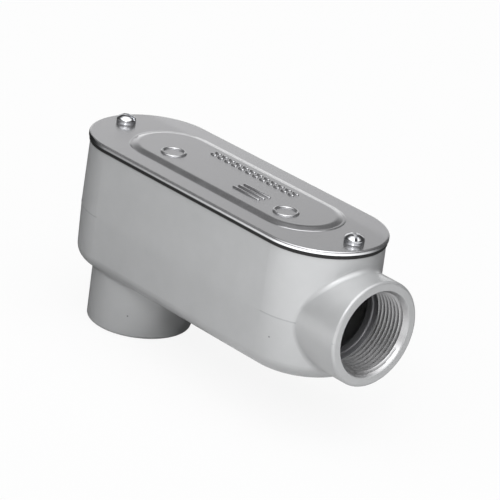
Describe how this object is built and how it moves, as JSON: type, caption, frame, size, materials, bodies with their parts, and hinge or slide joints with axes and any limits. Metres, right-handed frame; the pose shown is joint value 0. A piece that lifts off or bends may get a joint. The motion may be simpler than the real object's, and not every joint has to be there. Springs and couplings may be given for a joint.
{
  "type": "conduit body",
  "caption": "Elbow conduit body with a threaded hub at its end and one at its back, a gasket and a screwed obround cover over the wiring chamber.",
  "frame": {"origin": "centre of the back hub's mouth", "axes": "+X along the body towards the end hub's mouth, +Z from the back hub's mouth towards the cover"},
  "size_m": [0.194, 0.0628, 0.0971],
  "materials": {
    "enamelled_casting": "die-cast aluminium under a grey enamel coat",
    "gasket_rubber": "matt black",
    "enamelled_cover": "stamped steel sheet under a grey gloss enamel",
    "zinc_plated_screw": "bright zinc plate"
  },
  "bodies": {
    "casting": {"body_casting": "enamelled_casting", "cover_gasket": "gasket_rubber"},
    "cover": {"cover": "enamelled_cover"},
    "screw_back": {"cover_screw_back": "zinc_plated_screw"},
    "screw_end": {"cover_screw_end": "zinc_plated_screw"}
  },
  "joints": [
    {"name": "cover_lift", "type": "slide", "parent": "casting", "child": "cover", "axis": [0, 0, 1], "range_m": [0, 0.04]},
    {"name": "screw_back_out", "type": "slide", "parent": "cover", "child": "screw_back", "axis": [0, 0, 1], "range_m": [0, 0.014]},
    {"name": "screw_end_out", "type": "slide", "parent": "cover", "child": "screw_end", "axis": [0, 0, 1], "range_m": [0, 0.014]}
  ]
}
